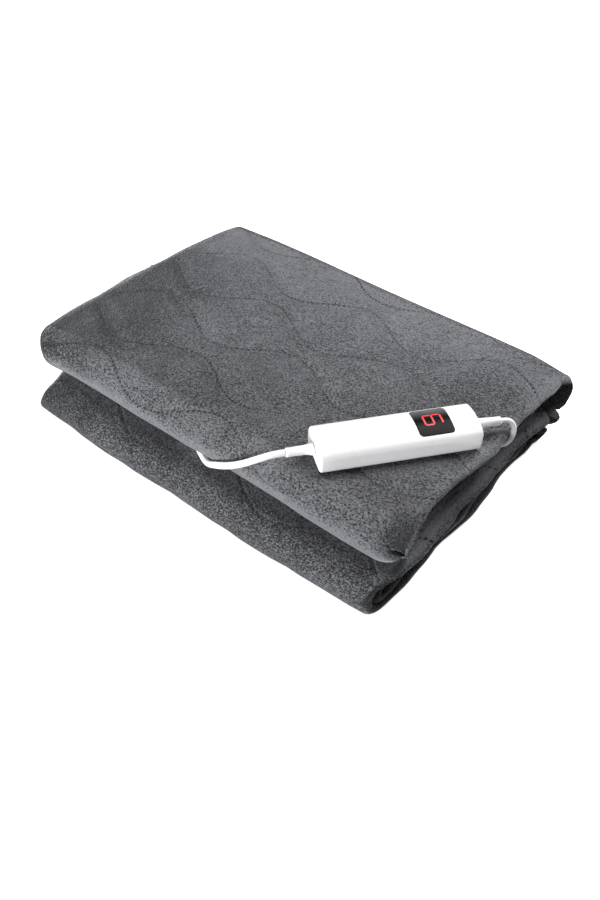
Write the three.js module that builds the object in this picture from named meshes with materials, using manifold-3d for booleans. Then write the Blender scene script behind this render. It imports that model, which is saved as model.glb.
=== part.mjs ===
// Electric heated throw, folded into a stack of eight layers, with its hand controller lying on top.
// Units are millimetres. +X runs along the folds, +Y to the back of the stack, +Z up.
// The cloth is one piece: each of its layers is the throw folded double and pressed together.
import * as THREE from "three";
import { mergeVertices } from "three/addons/utils/BufferGeometryUtils.js";
import Module from "manifold-3d";

const wasm = await Module();
wasm.setup();

// ---------- Driving dimensions ----------
const GAP = 0.3; // between pieces that touch

// The stack, at its left and right ends: the lower bundle, the space over it, and the whole height.
const STACK = {
  top: 97,
  lower: { left: 45, right: 48 },
  space: { left: 8.4, right: 1.0 },
  narrows: { from: 15, to: 120 }, // where along X the space closes
};
const LAYERS = 8;
const FILL = 0.93; // share of a layer's pitch that is cloth
const FOLD_REACH = 12.3; // how far one layer reaches out round a fold
const FRONT = { upperLeft: -147.5, upperRight: -142, lower: -165.5 };
const BACK = { hem: 161, innerHem: 158, fold: 160, turn: 158 };

// Where each layer ends along X, the lowest layer first, and how much farther its back right corner reaches.
const LAYER_ENDS = [
  { left: -230.5, right: 216.8, corner: 2 },
  { left: -225.0, right: 216, corner: 6 },
  { left: -223.0, right: 220, corner: 7 },
  { left: -223.5, right: 227, corner: 3 },
  { left: -219.0, right: 219, corner: 11 },
  { left: -222.0, right: 221, corner: 10 },
  { left: -224.0, right: 213, corner: 17 },
  { left: -227.5, right: 228, corner: -5 },
];
// How the ends bow, ripple and round off, and how the height settles.
const ENDS = {
  middle: -4,
  halfWidth: 161,
  skew: 0.03,
  frontRound: { lower: 4, upper: 9 },
  bow: { front: 14, back: 18 },
};
const LEFT_CORNER = { from: -88, to: -168, least: 3, atSpace: 18 };
const BACK_CORNER = { from: 95, to: 150 };
const SETTLE = { crown: 0.022, leftSink: 0.045, backSink: 0.022, unevenness: 0.007 };
const DENT = { depth: 0.042, halfLength: 84, halfWidth: 31 }; // under the controller
// A layer's rim is rounded: distance in from the edge, and share of the full thickness there.
const RIM = [
  { inset: 0, fill: 0.36 },
  { inset: 1.6, fill: 0.76 },
  { inset: 5, fill: 1 },
];

// Quilting: wavy stitch lines that run along X, every second one mirrored.
const QUILT = { first: 35, pitch: 57, wave: 17.5, length: 160, crestX: 10, trough: 1.5, puff: 0.9, shoulder: 9 };

const CONTROL = { length: 148, halfWidth: 22, height: 25, x: 160.4, y: -49, z: 96.9, turn: 53.3, edge: 2.5 };
const BARREL = { foot: 5, wallFrom: 6, wallTo: 14, shoulderIn: 7, crown: 1.9 }; // the controller's section
const WINDOW = { length: 33, width: 34.5, corner: 4, centre: 32.5, thickness: 1.6 };
const RELIEF = { length: 25, root: 7.4, tip: 5.2, rings: 3 };
const RELIEF_HEIGHT = 12; // over the controller's base

const MAINS = { diameter: 6.5, sides: 10 };
const LEAD = { diameter: 5, sides: 8 };
const COIL = { x: -277, y: 122, meanRadius: 35, turnsAcross: 3, layers: 2, lift: 1.3 };
const TIE = { width: 10, thickness: 0.9, clearance: 1.1 };
const PLUG = { x: -244, y: 190, turn: 14, length: 36, width: 35, height: 13.6 };
const PIN = { radius: 2, length: 19, pitch: 18.6 };
const PLUG_RELIEF = { length: 22, root: 5.6, tip: 4.2, rings: 3 };

// The middle of the stack's footprint in the coordinates above; the part's origin goes there.
const MIDDLE = { x: 0.1, y: -3.0 };

// Routes of the two cords, chosen by hand where they are not coiled.
const MAINS_ROUTE = [
  { x: 100.7, y: -128.9, z: 108.9 },
  { x: 93.5, y: -138.4, z: 108.2 },
  { x: 85.0, y: -146.8, z: 104.2 },
  { x: 74.5, y: -151.8, z: 96.8 },
  { x: 62.0, y: -153.8, z: 88.0 },
  { x: 48.5, y: -152.6, z: 78.6 },
  { x: 35.5, y: -149.2, z: 69.4 },
  { x: 24.0, y: -144.8, z: 60.9 },
  { x: 13.0, y: -138.6, z: 54.6 },
  { x: 1.0, y: -131.4, z: 51.0 },
  { x: -15.0, y: -122.6, z: 49.7 },
  { x: -36.0, y: -110.5, z: 49.3 },
  { x: -66.0, y: -92.0, z: 49.3 },
  { x: -102.0, y: -70.0, z: 49.3 },
  { x: -140.0, y: -47.5, z: 49.3 },
  { x: -178.0, y: -24.0, z: 49.0 },
  { x: -208.0, y: -4.5, z: 47.6 },
  { x: -226.0, y: 10.5, z: 46.2 },
  { x: -238.5, y: 27.0, z: 41.8 },
  { x: -243.5, y: 45.0, z: 34.0 },
  { x: -244.0, y: 62.0, z: 22.0 },
  { x: -241.5, y: 79.0, z: 10.5 },
  { x: -237.0, y: 96.0, z: 5.0 },
];
const MAINS_TAIL = [
  { x: -233.5, y: 143.5, z: 10.6 },
  { x: -234.0, y: 150.5, z: 9.4 },
  { x: -235.6, y: 158.5, z: 7.6 },
  { x: -238.4, y: 167.8, z: 6.8 },
];
const LEAD_ROUTE = [
  { x: 220.2, y: 31.0, z: 108.9 },
  { x: 223.4, y: 35.2, z: 108.5 },
  { x: 226.7, y: 38.6, z: 106.0 },
  { x: 229.2, y: 40.2, z: 101.4 },
  { x: 230.4, y: 40.0, z: 95.8 },
  { x: 230.2, y: 38.6, z: 90.2 },
  { x: 228.6, y: 36.6, z: 85.2 },
  { x: 225.6, y: 34.4, z: 81.4 },
  { x: 222.0, y: 32.8, z: 79.4 },
];

// ---------- Helpers ----------
const lerp = THREE.MathUtils.lerp;
const smooth = (value, from, to) => THREE.MathUtils.smoothstep(value, Math.min(from, to), Math.max(from, to));
const rise = (value, from, to) => (from < to ? smooth(value, from, to) : 1 - smooth(value, to, from));

function material(color, roughness, metalness = 0) {
  return new THREE.MeshStandardMaterial({ color, roughness, metalness });
}

function addPart(group, name, geometry, finish) {
  const mesh = new THREE.Mesh(geometry, finish);
  mesh.name = name;
  group.add(mesh);
  return mesh;
}

function toSolid(geometry) {
  const bare = geometry.clone();
  bare.deleteAttribute("normal");
  bare.deleteAttribute("uv");
  const merged = mergeVertices(bare, 1e-4);
  const vertProperties = new Float32Array(merged.attributes.position.array);
  const triVerts = new Uint32Array(merged.index.array);
  return new wasm.Manifold(new wasm.Mesh({ numProp: 3, vertProperties, triVerts }));
}

function toGeometry(solid) {
  const { vertProperties, triVerts } = solid.getMesh();
  const geometry = new THREE.BufferGeometry();
  geometry.setAttribute("position", new THREE.BufferAttribute(new Float32Array(vertProperties), 3));
  geometry.setIndex(new THREE.BufferAttribute(new Uint32Array(triVerts), 1));
  geometry.computeVertexNormals();
  return geometry;
}

// A turned solid about the Y axis, welded along its seam and at its poles.
function turned(profile, segments) {
  return toGeometry(toSolid(new THREE.LatheGeometry(profile, segments)));
}

// ---------- The folded cloth ----------
// A "level" counts layers from the floor: layer n fills the levels from n to n + 1.
const EDGE_LEVEL = (1 - FILL) / 2;

// Height of a level at a place along the stack.
function heightOf(level, x) {
  const open = 1 - smooth(x, STACK.narrows.from, STACK.narrows.to);
  const lower = lerp(STACK.lower.right, STACK.lower.left, open);
  const space = lerp(STACK.space.right, STACK.space.left, open);
  const half = LAYERS / 2;
  const span = half - 2 * EDGE_LEVEL;
  const upperStart = half + EDGE_LEVEL;
  if (level <= half - EDGE_LEVEL) {
    return ((level - EDGE_LEVEL) * lower) / span;
  }
  if (level >= upperStart) {
    return lower + space + ((level - upperStart) * (STACK.top - lower - space)) / span;
  }
  return lower + (space * (level - half + EDGE_LEVEL)) / (2 * EDGE_LEVEL);
}

// The stack swells in the middle, sinks at its left end and under the controller.
function settled(x, y) {
  const crown = SETTLE.crown * (1 - (x / 235) ** 2) * (1 - (y / 170) ** 2);
  const towardBack = rise(y, 95, 165);
  const leftSink = SETTLE.leftSink * rise(x, -150, -232) * (1 - 0.6 * towardBack);
  const backSink = SETTLE.backSink * towardBack;
  const unevenness = SETTLE.unevenness * Math.sin(x / 41 + 1.2) * Math.cos(y / 52 + 0.4);
  const turn = THREE.MathUtils.degToRad(CONTROL.turn);
  const along = (x - CONTROL.x) * Math.cos(turn) + (y - CONTROL.y) * Math.sin(turn);
  const across = (y - CONTROL.y) * Math.cos(turn) - (x - CONTROL.x) * Math.sin(turn);
  const dent = DENT.depth * Math.exp(-((along / DENT.halfLength) ** 6) - (across / DENT.halfWidth) ** 4);
  return 1 + crown - leftSink - backSink + unevenness - dent;
}

// Where a layer ends along X, for a level and a place across the stack.
function layerEnd(side, level, y) {
  const place = THREE.MathUtils.clamp(level - 0.5, 0, LAYERS - 1);
  const below = Math.floor(place);
  const above = Math.min(below + 1, LAYERS - 1);
  const base = lerp(LAYER_ENDS[below][side], LAYER_ENDS[above][side], place - below);
  const reach = Math.abs(y - ENDS.middle) / ENDS.halfWidth;
  if (side === "right") {
    const ripple = 1.6 * Math.sin(y / 21 + level * 1.9) + 1.1 * Math.sin(y / 37 + level * 0.8 + 1);
    const corner = lerp(LAYER_ENDS[below].corner, LAYER_ENDS[above].corner, place - below);
    const round = lerp(ENDS.frontRound.lower, ENDS.frontRound.upper, level / LAYERS);
    const frontRound = y < 0 ? round * reach ** 7 : 0;
    const skew = ENDS.skew * y * (1 - level / LAYERS);
    return base + ripple - skew + corner * rise(y, BACK_CORNER.from, BACK_CORNER.to) - frontRound;
  }
  const ripple = 0.9 * Math.sin(y / 27 + level * 1.3);
  const mouth = 1 - Math.abs(level - 4) / 4;
  const cut = LEFT_CORNER.least + LEFT_CORNER.atSpace * (level < 4 ? mouth : mouth ** 2);
  const bow = y < 0 ? ENDS.bow.front : ENDS.bow.back;
  return base + ripple + bow * reach ** 2 + cut * rise(y, LEFT_CORNER.from, LEFT_CORNER.to);
}

// The folds at the front wander a little.
function frontFolds(x) {
  const upperFront = lerp(FRONT.upperLeft, FRONT.upperRight, (x + 230) / 460) + 1.2 * Math.sin(x / 38);
  const lowerFront = FRONT.lower + 3.5 * (x / 230) ** 4 + 0.9 * Math.sin(x / 31 + 2);
  const outer = (1.5 + FILL / 2) * FOLD_REACH;
  return { upper: upperFront + outer, lower: lowerFront + outer };
}

function stitchLine(row, x) {
  const sign = row % 2 === 0 ? -1 : 1;
  const wave = Math.cos((2 * Math.PI * (x - QUILT.crestX)) / QUILT.length);
  return QUILT.first + QUILT.pitch * row + sign * QUILT.wave * wave;
}

// Rows of points across the top face: three to each stitch line and one on each pillow between.
function topRows(x, fold) {
  const rows = [];
  const backLimit = BACK.hem - 9;
  for (let row = 2; row >= -2; row -= 1) {
    const line = Math.min(stitchLine(row, x), backLimit - QUILT.shoulder * 0.5);
    if (row < 2) {
      rows.push({ y: line + QUILT.shoulder, lift: QUILT.puff * 0.3 });
    }
    rows.push({ y: line, lift: -QUILT.trough });
    rows.push({ y: line - QUILT.shoulder, lift: QUILT.puff * 0.3 });
    const next = row > -2 ? stitchLine(row - 1, x) + QUILT.shoulder : fold;
    rows.push({ y: (line - QUILT.shoulder + next) / 2, lift: QUILT.puff });
  }
  return rows;
}

// How far the quilting lifts the cloth, for a distance along the cloth from the middle of the stack.
function quiltLift(x, distance) {
  const row = Math.round((distance - QUILT.first) / QUILT.pitch);
  let nearest = Infinity;
  for (let step = -1; step <= 1; step += 1) {
    nearest = Math.min(nearest, Math.abs(distance - stitchLine(row + step, x)));
  }
  return lerp(-QUILT.trough, QUILT.puff, smooth(nearest, 0, 2 * QUILT.shoulder));
}

// The fold path, from the outer hem at the back of the top layer to the inner hem under it.
// A run follows a layer. A turn goes round a fold: "half" is its radius in layers.
function foldPath(x) {
  const { upper, lower } = frontFolds(x);
  const reach = FOLD_REACH * FILL * 0.5;
  const back = BACK.fold - 1.5 * FOLD_REACH - reach;
  const turn = BACK.turn - 0.5 * FOLD_REACH - reach;
  return [
    { run: 7, from: BACK.hem, to: upper, outside: 0, inside: 5, hem: "start" },
    { turn: 6, half: 1.5, y: upper, facing: -1, sense: -1, outside: 10, inside: 6, quilted: true },
    { run: 4, from: upper, to: back, outside: 5, inside: 3 },
    { turn: 4, half: 0.5, y: back, facing: 1, sense: -1, outside: 2, inside: 4 },
    { run: 3, from: back, to: lower, outside: 6, inside: 3 },
    { turn: 2, half: 1.5, y: lower, facing: -1, sense: -1, outside: 10, inside: 6, quilted: true },
    { run: 0, from: lower, to: turn, outside: 3, inside: 3 },
    { turn: 1, half: 0.5, y: turn, facing: 1, sense: 1, outside: 5, inside: 2 },
    { run: 1, from: turn, to: lower, outside: 3, inside: 3 },
    { turn: 2, half: 0.5, y: lower, facing: -1, sense: 1, outside: 2, inside: 4 },
    { run: 2, from: lower, to: back, outside: 3, inside: 3 },
    { turn: 4, half: 1.5, y: back, facing: 1, sense: 1, outside: 8, inside: 6 },
    { run: 5, from: back, to: upper, outside: 3, inside: 3 },
    { turn: 6, half: 0.5, y: upper, facing: -1, sense: 1, outside: 2, inside: 4 },
    { run: 6, from: upper, to: BACK.innerHem, outside: 3, inside: 3, hem: "end" },
  ];
}

function runPoints(piece, side, x, fill) {
  const direction = Math.sign(piece.to - piece.from);
  const level = piece.run + 0.5 - side * direction * 0.5 * FILL * fill;
  const middle = piece.run + 0.5;
  const points = [];
  if (piece.hem === "start") {
    RIM.forEach((rim) => {
      points.push({ y: piece.from + direction * rim.inset, level: lerp(middle, level, rim.fill), lift: 0 });
    });
  }
  if (piece.run === LAYERS - 1 && side === 1) {
    topRows(x, piece.to).forEach((row) => points.push({ y: row.y, level, lift: row.lift * fill }));
  } else {
    const count = side === 1 ? piece.outside : piece.inside;
    for (let i = 1; i <= count; i += 1) {
      points.push({ y: lerp(piece.from, piece.to, i / (count + 1)), level, lift: 0 });
    }
  }
  if (piece.hem === "end") {
    [...RIM].reverse().forEach((rim) => {
      points.push({ y: piece.to - direction * rim.inset, level: lerp(middle, level, rim.fill), lift: 0 });
    });
  }
  return points;
}

function turnPoints(piece, side, x, fill) {
  const radius = piece.half + side * piece.facing * piece.sense * 0.5 * FILL * fill;
  const count = side === 1 ? piece.outside : piece.inside;
  const points = [];
  for (let i = 0; i <= count; i += 1) {
    const angle = piece.sense * Math.PI * (i / count - 0.5);
    const along = piece.y - (Math.PI / 2 - angle) * radius * FOLD_REACH;
    const lift = piece.quilted && side === 1 ? quiltLift(x, along) * Math.cos(angle) * fill : 0;
    const out = radius + lift / FOLD_REACH;
    points.push({
      y: piece.y + piece.facing * out * Math.cos(angle) * FOLD_REACH,
      level: piece.turn + radius * Math.sin(angle),
      lift: 0,
    });
  }
  return points;
}

// One closed outline of the whole folded cloth at a place along X: out along one face, back on the other.
function clothSection(x, fill) {
  const sides = [1, -1].map((side) =>
    foldPath(x).flatMap((piece) =>
      piece.run === undefined ? turnPoints(piece, side, x, fill) : runPoints(piece, side, x, fill)
    )
  );
  return [...sides[0], ...sides[1].reverse()];
}

function clothGeometry(stations) {
  const rings = [];
  const places = [
    ...RIM.map((rim) => ({ share: 0, inset: rim.inset, fill: rim.fill })),
    ...Array.from({ length: stations }, (_, i) => ({ share: (i + 1) / (stations + 1), inset: 0, fill: 1 })),
    ...[...RIM].reverse().map((rim) => ({ share: 1, inset: -rim.inset, fill: rim.fill })),
  ];
  const innerEdge = RIM[RIM.length - 1].inset;
  places.forEach((place) => {
    const nominal = lerp(LAYER_ENDS[7].left, LAYER_ENDS[7].right, place.share);
    rings.push(
      clothSection(nominal, place.fill).map((point) => {
        const left = layerEnd("left", point.level, point.y);
        const right = layerEnd("right", point.level, point.y);
        const between = lerp(left + innerEdge, right - innerEdge, place.share);
        const atEnd = place.share === 0 ? left + place.inset : right + place.inset;
        const x = place.share === 0 || place.share === 1 ? atEnd : between;
        const z = heightOf(point.level, x) * settled(x, point.y) + point.lift;
        return new THREE.Vector3(x, point.y, z);
      })
    );
  });
  return loftGeometry(rings, clothSection(0, RIM[0].fill));
}

// Skin over rings of equal count, closed by a flat cap at each end.
function loftGeometry(rings, outline) {
  const count = rings[0].length;
  const indices = [];
  for (let i = 0; i + 1 < rings.length; i += 1) {
    for (let j = 0; j < count; j += 1) {
      const a = i * count + j;
      const b = i * count + ((j + 1) % count);
      indices.push(a, b + count, a + count, a, b, b + count);
    }
  }
  const flat = outline.map((point) => new THREE.Vector2(point.y, point.level * FOLD_REACH));
  const last = (rings.length - 1) * count;
  THREE.ShapeUtils.triangulateShape(flat, []).forEach(([a, b, c]) => {
    indices.push(a, c, b);
    indices.push(last + a, last + b, last + c);
  });
  const geometry = new THREE.BufferGeometry();
  const positions = rings.flat().flatMap((point) => point.toArray());
  geometry.setAttribute("position", new THREE.Float32BufferAttribute(positions, 3));
  geometry.setIndex(indices);
  geometry.computeVertexNormals();
  return geometry;
}

// ---------- The controller ----------
// The barrel's section, across and up: a flat base, upright sides and a low crowned top.
function barrelShape(inset) {
  const w = CONTROL.halfWidth - inset;
  const top = CONTROL.height - inset;
  const { foot, wallFrom, wallTo, shoulderIn, crown } = BARREL;
  const shoulder = { x: w - shoulderIn, y: top - crown };
  const shape = new THREE.Shape();
  shape.moveTo(-w + foot, inset);
  shape.lineTo(w - foot, inset);
  shape.quadraticCurveTo(w - 0.5, inset + 0.5, w, wallFrom);
  shape.lineTo(w, wallTo);
  shape.quadraticCurveTo(w, shoulder.y - 1.5, shoulder.x, shoulder.y);
  shape.quadraticCurveTo(0, top + crown, -shoulder.x, shoulder.y);
  shape.quadraticCurveTo(-w, shoulder.y - 1.5, -w, wallTo);
  shape.lineTo(-w, wallFrom);
  shape.quadraticCurveTo(-w + 0.5, inset + 0.5, -w + foot, inset);
  return shape;
}

// Turns an extrusion along Z into one along X, with the shape's x across and its y up.
const ALONG_X = new THREE.Matrix4().makeBasis(
  new THREE.Vector3(0, 1, 0),
  new THREE.Vector3(0, 0, 1),
  new THREE.Vector3(1, 0, 0)
);

function barrelGeometry(inset) {
  const edge = CONTROL.edge;
  const geometry = new THREE.ExtrudeGeometry(barrelShape(inset), {
    depth: CONTROL.length - 2 * inset - 2 * edge,
    bevelThickness: edge,
    bevelSize: edge,
    bevelOffset: -edge,
    bevelSegments: 2,
    curveSegments: 5,
  });
  geometry.translate(0, 0, -CONTROL.length / 2 + inset + edge);
  return geometry.applyMatrix4(ALONG_X);
}

function windowPrism(grow) {
  const a = WINDOW.length / 2 + grow;
  const b = WINDOW.width / 2 + grow;
  const r = WINDOW.corner + grow;
  const shape = new THREE.Shape();
  shape.moveTo(-a + r, -b);
  shape.lineTo(a - r, -b);
  shape.absarc(a - r, -b + r, r, -Math.PI / 2, 0);
  shape.lineTo(a, b - r);
  shape.absarc(a - r, b - r, r, 0, Math.PI / 2);
  shape.lineTo(-a + r, b);
  shape.absarc(-a + r, b - r, r, Math.PI / 2, Math.PI);
  shape.lineTo(-a, -b + r);
  shape.absarc(-a + r, -b + r, r, Math.PI, 1.5 * Math.PI);
  const geometry = new THREE.ExtrudeGeometry(shape, { depth: 30, bevelEnabled: false, curveSegments: 4 });
  return geometry.translate(WINDOW.centre, 0, CONTROL.height / 2);
}

function buildController(group) {
  const barrel = toSolid(barrelGeometry(0));
  const recess = toSolid(windowPrism(GAP)).subtract(toSolid(barrelGeometry(WINDOW.thickness + GAP)));
  const pane = toSolid(windowPrism(0)).intersect(barrel).subtract(toSolid(barrelGeometry(WINDOW.thickness)));
  addPart(group, "controller_body", toGeometry(barrel.subtract(recess)), material(0xf2f3f4, 0.3));
  addPart(group, "display_window", toGeometry(pane), material(0x0d0e10, 0.12));
}

// A tapered, ringed sleeve on the X axis, starting at the origin.
function reliefGeometry({ length, root, tip, rings }) {
  const profile = [new THREE.Vector2(0, 0), new THREE.Vector2(root, 0), new THREE.Vector2(root - 0.9, 2.2)];
  const start = 6;
  for (let i = 0; i < rings; i += 1) {
    const y = lerp(start, length - 4, i / rings);
    const r = lerp(root - 1.5, tip, i / (rings - 1));
    profile.push(new THREE.Vector2(r, y));
    profile.push(new THREE.Vector2(r, y + 3.2));
    profile.push(new THREE.Vector2(r - 0.5, y + 3.8));
  }
  profile.push(new THREE.Vector2(tip, length - 3));
  profile.push(new THREE.Vector2(tip, length));
  profile.push(new THREE.Vector2(0, length));
  return turned(profile, 14).rotateZ(-Math.PI / 2);
}

// ---------- Cords ----------
function vectors(route) {
  return route.map((point) => new THREE.Vector3(point.x, point.y, point.z));
}

function tubeGeometry(route, cord, stepDiameters) {
  const path = new THREE.CatmullRomCurve3(vectors(route), false, "centripetal");
  const shape = new THREE.Shape();
  for (let i = 0; i < cord.sides; i += 1) {
    const angle = (2 * Math.PI * i) / cord.sides;
    const x = (cord.diameter / 2) * Math.cos(angle);
    const y = (cord.diameter / 2) * Math.sin(angle);
    if (i === 0) {
      shape.moveTo(x, y);
    } else {
      shape.lineTo(x, y);
    }
  }
  const steps = Math.ceil(path.getLength() / (stepDiameters * cord.diameter));
  return new THREE.ExtrudeGeometry(shape, { steps, extrudePath: path, curveSegments: 1 });
}

// The outer shape of the wound cord: a ring with a rounded section.
function coilGeometry() {
  const d = MAINS.diameter;
  const inner = COIL.meanRadius - (COIL.turnsAcross * d) / 2;
  const outer = COIL.meanRadius + (COIL.turnsAcross * d) / 2;
  const top = COIL.layers * d;
  const r = d * 0.35;
  const corner = [
    [inner + r, 0],
    [outer - r, 0],
    [outer, r],
    [outer, top - r],
    [outer - r, top],
    [inner + r, top],
    [inner, top - r],
    [inner, r],
    [inner + r, 0],
  ];
  const geometry = new THREE.LatheGeometry(corner.map(([x, y]) => new THREE.Vector2(x, y)), 40);
  return geometry.rotateX(Math.PI / 2).translate(COIL.x, COIL.y, COIL.lift);
}

// A band round the coil's section.
function tieGeometry() {
  const d = MAINS.diameter;
  const across = COIL.turnsAcross * d + 2 * TIE.clearance;
  const high = COIL.layers * d + 2 * GAP;
  const t = TIE.thickness;
  const shape = new THREE.Shape();
  shape.moveTo(-across / 2 - t, -t);
  shape.lineTo(across / 2 + t, -t);
  shape.lineTo(across / 2 + t, high + t);
  shape.lineTo(-across / 2 - t, high + t);
  const hole = new THREE.Path();
  hole.moveTo(-across / 2, 0);
  hole.lineTo(-across / 2, high);
  hole.lineTo(across / 2, high);
  hole.lineTo(across / 2, 0);
  shape.holes.push(hole);
  const geometry = new THREE.ExtrudeGeometry(shape, { depth: TIE.width, bevelEnabled: false });
  geometry.translate(0, 0, -TIE.width / 2);
  return geometry.rotateX(Math.PI / 2).translate(COIL.meanRadius, 0, COIL.lift - GAP);
}

function plugGeometry() {
  const { length, width, height } = PLUG;
  const outline = new THREE.Shape();
  outline.moveTo(-width * 0.2, 0);
  outline.lineTo(width * 0.2, 0);
  outline.quadraticCurveTo(width * 0.36, length * 0.3, width * 0.5, length * 0.55);
  outline.lineTo(width * 0.5, length);
  outline.lineTo(-width * 0.5, length);
  outline.lineTo(-width * 0.5, length * 0.55);
  outline.quadraticCurveTo(-width * 0.36, length * 0.3, -width * 0.2, 0);
  const geometry = new THREE.ExtrudeGeometry(outline, {
    depth: height - 5,
    bevelThickness: 2.5,
    bevelSize: 2.5,
    bevelOffset: -2.5,
    bevelSegments: 2,
    curveSegments: 5,
  });
  return geometry.translate(0, 0, 2.5);
}

function pinGeometry() {
  const r = PIN.radius;
  const profile = [
    new THREE.Vector2(0, 0),
    new THREE.Vector2(r, 0),
    new THREE.Vector2(r, PIN.length - 1.2),
    new THREE.Vector2(r - 0.8, PIN.length),
    new THREE.Vector2(0, PIN.length),
  ];
  return turned(profile, 12);
}

// ---------- Assembly ----------
const heatedThrow = new THREE.Group();
const cloth = material(0x5f6064, 0.95);
const shell = material(0xf2f3f4, 0.35);
const jacket = material(0xeeeff0, 0.45);

addPart(heatedThrow, "throw", clothGeometry(29), cloth);

const controller = new THREE.Group();
controller.position.set(CONTROL.x, CONTROL.y, CONTROL.z);
controller.rotation.z = THREE.MathUtils.degToRad(CONTROL.turn);
heatedThrow.add(controller);
buildController(controller);

const leadRelief = addPart(controller, "lead_relief", reliefGeometry(RELIEF), shell);
leadRelief.position.set(CONTROL.length / 2 + GAP, 0, RELIEF_HEIGHT);
const mainsRelief = addPart(controller, "mains_relief", reliefGeometry(RELIEF), shell);
mainsRelief.position.set(-CONTROL.length / 2 - GAP, 0, RELIEF_HEIGHT);
mainsRelief.rotation.z = Math.PI;

addPart(heatedThrow, "blanket_lead", tubeGeometry(LEAD_ROUTE, LEAD, 0.9), jacket);
addPart(heatedThrow, "mains_lead", tubeGeometry(MAINS_ROUTE, MAINS, 2), jacket);
addPart(heatedThrow, "mains_coil", coilGeometry(), jacket);
addPart(heatedThrow, "mains_tail", tubeGeometry(MAINS_TAIL, MAINS, 2), jacket);

const tie = addPart(heatedThrow, "coil_tie", tieGeometry(), material(0x1c1c1e, 0.6));
tie.position.set(COIL.x, COIL.y, 0);
tie.rotation.z = THREE.MathUtils.degToRad(200);

const plug = new THREE.Group();
plug.position.set(PLUG.x, PLUG.y, 0);
plug.rotation.z = THREE.MathUtils.degToRad(PLUG.turn);
heatedThrow.add(plug);
addPart(plug, "plug_body", plugGeometry(), shell);
const plugRelief = addPart(plug, "plug_relief", reliefGeometry(PLUG_RELIEF), shell);
plugRelief.position.set(0, -GAP, PLUG.height / 2);
plugRelief.rotation.z = -Math.PI / 2;
[-1, 1].forEach((side) => {
  const pin = addPart(plug, side < 0 ? "plug_pin_a" : "plug_pin_b", pinGeometry(), material(0xc9cacc, 0.25, 1));
  pin.position.set((side * PIN.pitch) / 2, PLUG.length + GAP, PLUG.height / 2);
});

heatedThrow.position.set(-MIDDLE.x, -MIDDLE.y, 0);
export default heatedThrow;
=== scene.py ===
"""Electric heated throw folded into a stack, with its hand controller, leads and plug."""
import math

import bmesh
import bpy
import numpy as np
from mathutils import Matrix, Vector


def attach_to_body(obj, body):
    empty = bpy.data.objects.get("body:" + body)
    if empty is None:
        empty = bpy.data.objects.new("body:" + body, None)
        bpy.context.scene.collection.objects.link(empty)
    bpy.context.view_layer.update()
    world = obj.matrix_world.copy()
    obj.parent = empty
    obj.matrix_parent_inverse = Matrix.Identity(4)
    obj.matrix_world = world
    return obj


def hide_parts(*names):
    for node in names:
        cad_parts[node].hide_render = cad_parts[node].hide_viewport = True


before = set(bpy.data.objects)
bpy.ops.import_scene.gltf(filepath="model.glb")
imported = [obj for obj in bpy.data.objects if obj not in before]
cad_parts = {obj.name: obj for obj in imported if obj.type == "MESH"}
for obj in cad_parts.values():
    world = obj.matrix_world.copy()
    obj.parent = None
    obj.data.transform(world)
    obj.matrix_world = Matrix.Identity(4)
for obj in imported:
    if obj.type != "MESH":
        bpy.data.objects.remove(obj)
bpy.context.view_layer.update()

MM = 0.001
# The part's sizes, in millimetres, in the coordinates it was drawn in; SHIFT takes them to the frame.
SHIFT = (-0.1, 3.0, 0.0)
STACK = dict(
    top=97.0, lower_left=45.0, lower_right=48.0,
    space_left=8.4, space_right=1.0, narrows=(15.0, 120.0),
)
LAYERS = 8
# Share of a layer's height that its cloth fills, and a fold's reach along Y for each layer of its radius.
FILL = 0.93
FOLD_REACH = 12.3
# Where the folds and hems reach, in Y.
FRONT = dict(upper_left=-147.5, upper_right=-142.0, lower=-165.5)
BACK = dict(outer=169.0, inner_hem=155.0, fold=157.0, turn=158.0)
# The top layer bends down over the back: radius of the bend, its level and the hem's, in layers.
WRAP = dict(half=1.0, level=6.5, hem=3.4)
# Steps of its right end on the way down: how far out (in, below 0), from which level, over how many.
WRAP_STEPS = [(3.0, 7.5, 1.2), (-4.0, 6.0, 2.4), (-4.0, 4.3, 0.9)]
# The upper bundle's front right end closes like a mitten: where it starts to, and the middle it closes to.
MITTEN = dict(start=205.0, depth=19.5, span=(95.0, 130.0), y=-121.0, z=61.0)
# Where each layer ends, the lowest first: left, right, and how much farther its back right corner reaches.
LAYER_LEFT = np.array([-230.5, -226.0, -224.0, -223.5, -219.0, -226.0, -231.0, -235.5])
LAYER_RIGHT = np.array([218.3, 217.5, 219.5, 226.0, 213.0, 217.0, 210.0, 228.5])
LAYER_CORNER = np.array([4.0, 11.0, 13.0, 6.0, 3.0, -6.0, -8.0, 8.0])
# The stitched lines: waves along X, in pairs across Y, sunk by the trough between puffs.
QUILT = dict(
    first=33.0, pitch=56.8, wave=17.5, length=160.0,
    crest=17.0, trough=0.55, puff=0.5, spread=15.0,
)
# How the ends of the layers curve in from the middle of each side toward its corners.
ENDS = dict(
    middle=-4.0, half_width=161.0, skew=0.03,
    front_round=(4.0, 9.0), bow=(14.0, 18.0), top_bow=(11.0, 5.0),
)
LEFT_CORNER = dict(span=(88.0, 168.0), least=3.0, at_space=18.0)
# The left end's outer layers bend over, and its lowest layer is tucked in at the front.
LEFT_ROUND = dict(start=213.0, reach=18.0, drop=10.0)
LEFT_TUCK = dict(depth=9.0, span=(125.0, 166.0), below=1.6)
BACK_CORNER = (140.0, 156.0)
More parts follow.
